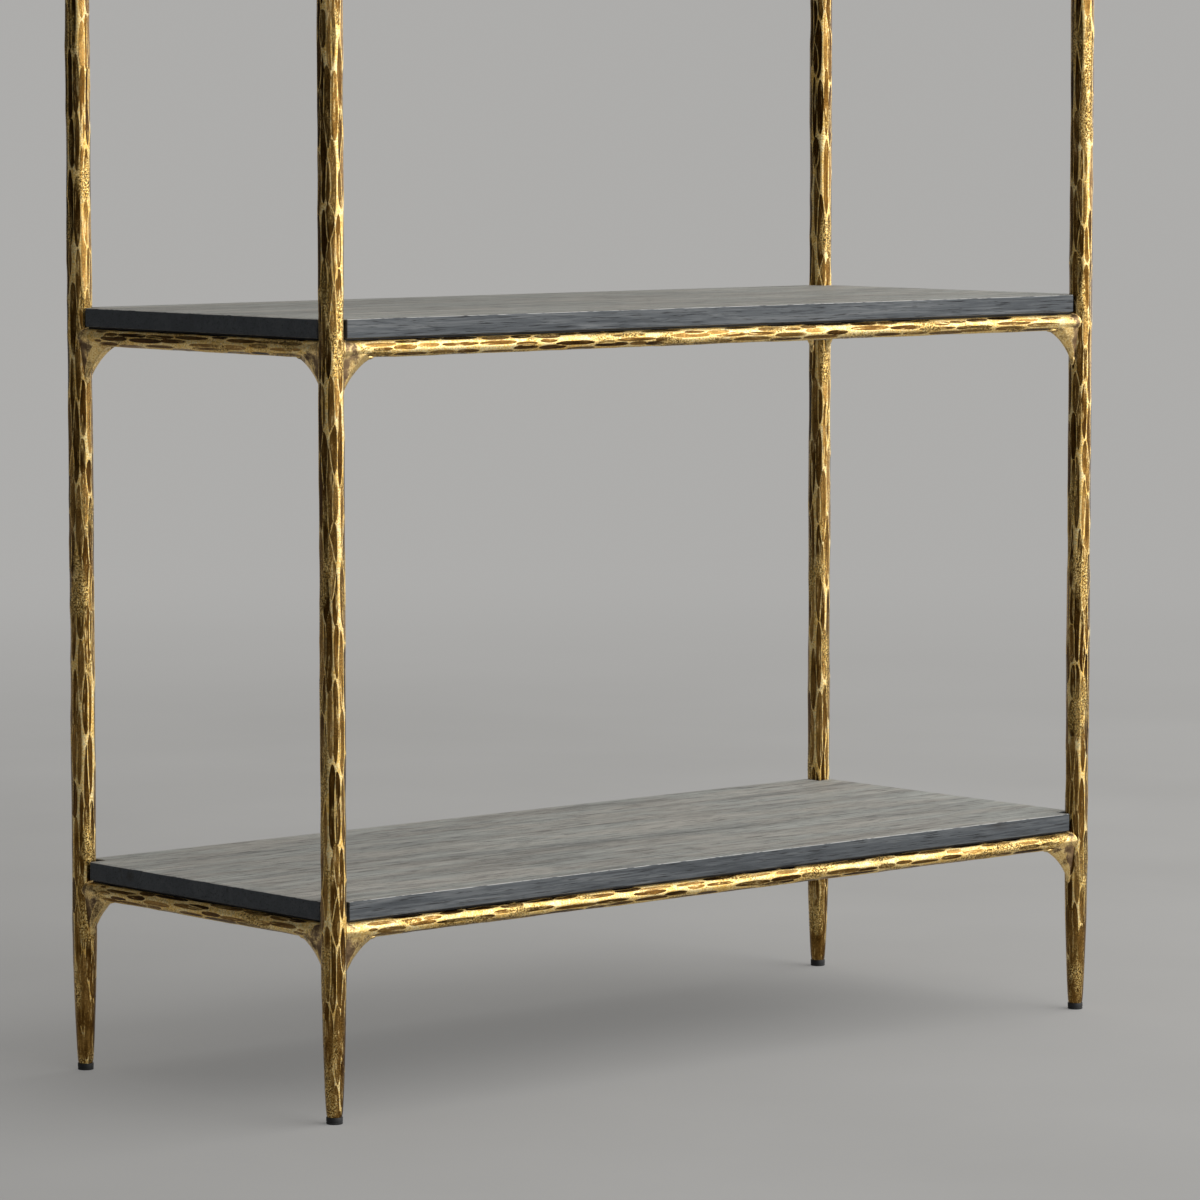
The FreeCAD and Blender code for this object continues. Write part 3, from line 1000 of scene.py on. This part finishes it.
def hammered_brass(name):
    """Brown flats between ridges that are rubbed bright, with dark pits and gold flecks."""
    finish = Finish(name)
    way = finish.value("ridge_way")
    tone = finish.value("tone")
    speck = finish.noise(800, 4, 0.65)
    cloud = finish.noise(60, 3, 0.5)
    streak = finish.noise(420, 3, 0.6, (1, 1, 0.09), along_bar=True)
    sandy = finish.noise(58, 3, 0.5, (1, 1, 0.3), along_bar=True).between(0.53, 0.64)
    line = 1 - (way + (speck - 0.5) * 0.9 + (cloud - 0.5) * 1.7).between(0.24, 0.70)
    rubbed = 1 - (1 - line) * (1 - streak.between(0.59, 0.66) * 0.55)
    brown = finish.ramp(
        tone * 0.5 + (cloud - 0.5) * 0.7 + (speck - 0.5) * 0.7 + (streak - 0.5) * 0.9 + 0.10,
        (0.0, (0.036, 0.015, 0.003)), (0.3, (0.135, 0.064, 0.012)), (0.64, (0.37, 0.210, 0.057)),
        (1.0, (0.68, 0.46, 0.21)),
    )
    gold = finish.ramp(
        speck + (cloud - 0.5) * 0.5,
        (0.3, (0.68, 0.39, 0.07)), (0.46, (0.96, 0.67, 0.23)), (0.62, (1.0, 0.86, 0.50)),
    )
    sand = finish.ramp(
        speck,
        (0.40, (0.10, 0.045, 0.008)), (0.5, (0.64, 0.38, 0.085)), (0.58, (1.0, 0.78, 0.34)),
    )
    pits = finish.noise(620, 3, 0.6).between(0.51, 0.57) * (0.35 + sandy * 0.65)
    colour = finish.mix(finish.mix(brown, gold, rubbed), sand, sandy * 0.8)
    colour = finish.mix(colour, (0.05, 0.022, 0.005), pits * 0.85)
    height = speck * 0.5 - pits
    return finish.done(
        Base_Color=colour,
        Metallic=1.0,
        Roughness=0.24 + rubbed * 0.24 + (speck - 0.5) * 0.2,
        Normal=finish.bumped(height, 0.12 * mm),
    )


def cast_brass(name):
    """Duller cast metal with rubbed edges and bright ground bevels, for the webs and tabs."""
    finish = Finish(name)
    edge = finish.value("edge")
    speck = finish.noise(700, 4, 0.65)
    cloud = finish.noise(90, 3, 0.5)
    ground = finish.value("ground") * (0.55 + cloud.between(0.4, 0.6) * 0.35)
    rubbed = (ground + edge * 1.3 + (speck - 0.5) * 0.7 + (cloud - 0.5) * 0.6).between(0.35, 0.85)
    brown = finish.ramp(
        cloud + (speck - 0.5) * 0.5,
        (0.3, (0.10, 0.058, 0.028)), (0.55, (0.26, 0.168, 0.088)), (0.8, (0.45, 0.30, 0.14)),
    )
    gold = finish.ramp(speck, (0.35, (0.74, 0.44, 0.11)), (0.62, (1.0, 0.78, 0.37)))
    colour = finish.mix(brown, gold, rubbed)
    return finish.done(
        Base_Color=colour,
        Metallic=0.85 + rubbed * 0.15,
        Roughness=0.46 - rubbed * 0.16 + (speck - 0.5) * 0.2,
        Normal=finish.bumped(speck, 0.15 * mm),
    )


def stained_wood(name):
    """Dark stained boards, open grain along x. Tops are satin, and paler and warmer as a painted
    sheen.
    """
    finish = Finish(name, Specular_IOR_Level=0.35)
    broad = finish.noise(2.6, 4, 0.6, (1, 14, 14), (3, 1, 2), 1.4)
    streak = finish.noise(14, 5, 0.7, (1, 28, 28), (0, 0, 0), 0.8)
    pores = finish.noise(34, 3, 0.6, (1, 24, 24)).between(0.55, 0.66)
    knots = finish.noise(6, 3, 0.6, (1, 5, 5), (7, 3, 1), 0.8).between(0.62, 0.80)
    cracks = finish.noise(11, 4, 0.6, (1, 34, 34), (2, 5, 8), 0.6).between(0.66, 0.70)
    tint = finish.noise(9, 3, 0.6, (1, 5, 5), (4, 9, 2)).between(0.38, 0.62)
    facing = finish.node("ShaderNodeNewGeometry", output="Normal")
    ways = finish.node("ShaderNodeVectorMath", {"operation": "ABSOLUTE"}, {0: facing})
    parts = [finish.node("ShaderNodeSeparateXYZ", None, {0: ways}, output) for output in "XYZ"]
    flat = parts[2].between(0.8, 0.98)
    grain = broad * 0.45 + streak * 0.55
    side = finish.ramp(
        grain,
        (0.36, (0.020, 0.025, 0.030)), (0.5, (0.062, 0.070, 0.078)), (0.64, (0.145, 0.153, 0.158)),
    )
    # Painted sheen: faces that look up or down get this paler, warmer ramp instead of the sides'
    # dark one
    top = finish.ramp(
        grain,
        (0.35, (0.150, 0.149, 0.139)), (0.48, (0.350, 0.345, 0.322)), (0.64, (0.53, 0.522, 0.485)),
    )
    tinge = finish.mix((0.97, 1.0, 0.99), (1.0, 0.97, 0.93), tint)
    top = finish.mix(top, tinge, 1, "MULTIPLY")
    colour = finish.mix(side, top, flat)
    end_grain = parts[0].between(0.8, 0.98)
    colour = finish.mix(colour, (0.050, 0.058, 0.068), end_grain * 0.75)
    colour = finish.mix(colour, (0.010, 0.010, 0.012), pores * 0.8)
    flaws = 1 - (1 - knots * 0.8) * (1 - cracks * 0.8)
    colour = finish.mix(colour, (0.030, 0.027, 0.024), flaws)
    squareness = parts[0].or_more(parts[1]).or_more(parts[2])
    # Upper arrises are painted pale in patches: partly stain worn off the edge, partly a painted
    # highlight where the edge catches the light
    raised = finish.node("ShaderNodeSeparateXYZ", None, {0: facing}, "Z").between(0.1, 0.4)
    arris_wear_and_highlight = (1 - squareness).between(0.01, 0.12) * finish.noise(110, 3).between(0.36, 0.52)
    colour = finish.mix(colour, (0.50, 0.50, 0.48), arris_wear_and_highlight * raised * 0.85)
    # Painted shade: the rebate round the board's foot is painted near black
    colour = finish.mix(colour, (0.004, 0.004, 0.004), finish.value("rebate").between(0.02, 0.2))
    return finish.done(
        Base_Color=colour,
        Roughness=0.48 + streak * 0.2 + pores * 0.2,
        Normal=finish.bumped(streak * 0.5 - pores - knots, 0.15 * mm),
    )


def black_plastic(name):
    finish = Finish(name)
    grain = finish.noise(1400, 3, 0.6)
    dust = finish.noise(120, 4, 0.6).between(0.5, 0.75)
    return finish.done(
        Base_Color=finish.mix((0.006, 0.006, 0.006), (0.026, 0.025, 0.023), dust * 0.5),
        Roughness=0.5 + grain * 0.25,
        Normal=finish.bumped(grain, 0.05 * mm),
    )


def zinc_steel(name):
    finish = Finish(name)
    grain = finish.noise(500, 4, 0.6)
    return finish.done(
        Base_Color=finish.ramp(grain, (0.3, (0.36, 0.36, 0.35)), (0.7, (0.62, 0.61, 0.58))),
        Metallic=0.95,
        Roughness=0.28 + grain * 0.22,
        Normal=finish.bumped(grain, 0.04 * mm),
    )


def plain_floor(name):
    """A pale floor that fades into the backdrop's colour and can be looked through from below."""
    finish = Finish(name, Specular_IOR_Level=0.0)
    mottle = finish.noise(1.6, 4, 0.5)
    colour = finish.ramp(mottle, (0.3, (0.36, 0.355, 0.345)), (0.7, (0.41, 0.405, 0.395)))
    finish.done(Base_Color=colour, Roughness=0.7)
    own = finish.node("ShaderNodeTexCoord", output="Object")
    far = finish.node("ShaderNodeVectorMath", {"operation": "LENGTH"}, {0: own}, 1)
    glow = finish.node("ShaderNodeEmission", None, {"Color": backdrop_colour, "Strength": 1.0})
    clear = finish.node("ShaderNodeBsdfTransparent")
    behind = finish.node("ShaderNodeNewGeometry", output="Backfacing")
    lit = Wire(finish, finish.shader.outputs[0])
    share = 0.35 + far.between(1.2, 5.0) * 0.65
    faded = finish.node("ShaderNodeMixShader", None, {0: share, 1: lit, 2: glow})
    mixed = finish.node("ShaderNodeMixShader", None, {0: behind, 1: faded, 2: clear})
    finish.tree.links.new(mixed.socket, finish.tree.nodes["Material Output"].inputs["Surface"])
    return finish.material


# Putting it together

materials = {
    "hammered_brass": hammered_brass("hammered_brass"),
    "cast_brass": cast_brass("cast_brass"),
    "stained_wood": stained_wood("stained_wood"),
    "black_plastic": black_plastic("black_plastic"),
    "zinc_steel": zinc_steel("zinc_steel"),
}


def placed(piece, slot, body, node):
    """Gives a piece the material of its slot, and its place in the frame."""
    piece.data.materials.clear()
    piece.data.materials.append(materials[slot])
    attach(piece, body)
    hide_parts(node)


seed = 11
for corner in corners:
    seed += 1
    piece = made_post(corner, seed)
    placed(piece, "hammered_brass", "frame", f"post_{corner}")
for level in levels:
    height = rail_heights[level]
    for side, half_length, order, by in (
        ("front", half_wide, (2, 0, 1), (0, -half_deep, height)),
        ("back", half_wide, (2, 0, 1), (0, half_deep, height)),
        ("left", half_deep, (1, 2, 0), (-half_wide, 0, height)),
        ("right", half_deep, (1, 2, 0), (half_wide, 0, height)),
    ):
        seed += 1
        piece = made_rail(f"hammered_rail_{side}_{level}", seed, half_length, order, by)
        placed(piece, "hammered_brass", "frame", f"rail_{side}_{level}")

dents = bpy.data.textures.new("casting_dents", "CLOUDS")
dents.noise_scale = cast_dent_size
pair = cast_pair()
for corner in corners:
    for level in levels:
        piece = made_webs(pair, corner, level, dents)
        placed(piece, "cast_brass", "frame", f"gussets_{corner}_{level}")
bpy.data.objects.remove(pair)

tab = made_tab()
screw = made_screw()
all_screws = []
for level in levels:
    placed(made_board(level), "stained_wood", "frame", f"shelf_board_{level}")
    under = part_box(f"shelf_board_{level}")[0].z
    low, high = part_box(f"board_tabs_{level}")
    tab_x = high.x - tab_width / 2
    screw_y = half_deep - (tab_lap + tab_length - tab_width / 2)
    tabs = []
    for x in (-tab_x, tab_x):
        for side in (-1, 1):
            twin = copied(tab, "tab_copy")
            points = points_of(twin) * (side, -side, 1)
            set_points(twin, points + np.array((x, side * half_deep, under)))
            tabs.append(twin)
            twin = copied(screw, "screw_copy")
            place = (x, side * screw_y, under - tab_thickness)
            set_points(twin, points_of(twin) + np.array(place))
            all_screws.append(twin)
    four = outward(joined(*tabs))
    four.name = f"welded_tabs_{level}"
    give_edge_wear(four, 0.3, 1)
    give_values(four, "ground", np.zeros(len(four.data.vertices)))
    placed(smooth_shaded(four), "cast_brass", "frame", f"board_tabs_{level}")
fixings = joined(*all_screws)
fixings.name = "pan_head_screws"
placed(smooth_shaded(fixings, radians(35)), "zinc_steel", "frame", "board_screws")
bpy.data.objects.remove(tab)
bpy.data.objects.remove(screw)

pad = made_pad()
stud = made_stud()
for corner in corners:
    by = np.array((*post_centres[corner], 0))
    for source, name, slot in (
        (pad, "glide_pad", "black_plastic"), (stud, "glide_stud", "zinc_steel"),
    ):
        piece = copied(source, f"{name}_of_{corner}")
        set_points(piece, points_of(piece) + by)
        smooth_shaded(piece, radians(35))
        placed(piece, slot, f"{name}_{corner}", f"{name}_{corner}")
bpy.data.objects.remove(pad)
bpy.data.objects.remove(stud)

# Floor, lights and camera
bpy.ops.object.select_all(action="DESELECT")
bpy.ops.mesh.primitive_plane_add(size=floor_size, location=(0, 0, 0))
floor = added("floor")
floor.data.materials.append(plain_floor("plain_floor"))

# Two grey screens that keep the light off the unit's left and back, as in a room with one window
grey_cloth = Finish("grey_cloth").done(Base_Color=(0.04, 0.04, 0.04), Roughness=0.9)
for name, low, high in (
    ("left_screen", (-4.1, -3.9, 0.02), (-4.0, 3.5, 6.0)),
    ("back_screen", (-4.0, 5.0, 0.02), (0.9, 5.1, 6.0)),
):
    screen = block(name, low, high)
    screen.data.materials.append(grey_cloth)
    screen.visible_camera = False

world = bpy.data.worlds.new("studio")
bpy.context.scene.world = world
world.use_nodes = True
background = world.node_tree.nodes["Background"]
background.inputs["Color"].default_value = (*backdrop_colour, 1)
background.inputs["Strength"].default_value = 1.0


def area_light(name, place, size, power):
    """A soft rectangular lamp that faces the middle of the unit."""
    lamp = bpy.data.lights.new(name, "AREA")
    lamp.shape = "RECTANGLE"
    lamp.size, lamp.size_y = size
    lamp.energy = power
    holder = bpy.data.objects.new(name, lamp)
    bpy.context.scene.collection.objects.link(holder)
    away = [a - b for a, b in zip(place, lamp_target)]
    flat = sqrt(away[0] ** 2 + away[1] ** 2)
    holder.location = place
    holder.rotation_euler = (atan2(flat, away[2]), 0, atan2(away[1], away[0]) + pi / 2)
    holder.visible_camera = False


area_light("window", (2.0, -4.2, 2.2), (6.6, 4.4), 225)
area_light("ceiling", (2.0, -1.6, 5.0), (7.0, 8.0), 155)
area_light("right_wall", (4.4, -0.4, 1.8), (3.4, 3.4), 55)

camera_data = bpy.data.cameras.new("camera")
camera_data.lens = camera_lens
camera_data.sensor_width = camera_sensor_width
camera_data.clip_end = camera_reach
camera = bpy.data.objects.new("camera", camera_data)
bpy.context.scene.collection.objects.link(camera)
camera.location = camera_place
camera.rotation_euler = (pi / 2 - camera_dip, 0, camera_turn)
bpy.context.scene.camera = camera
bpy.context.scene.view_settings.view_transform = "Standard"
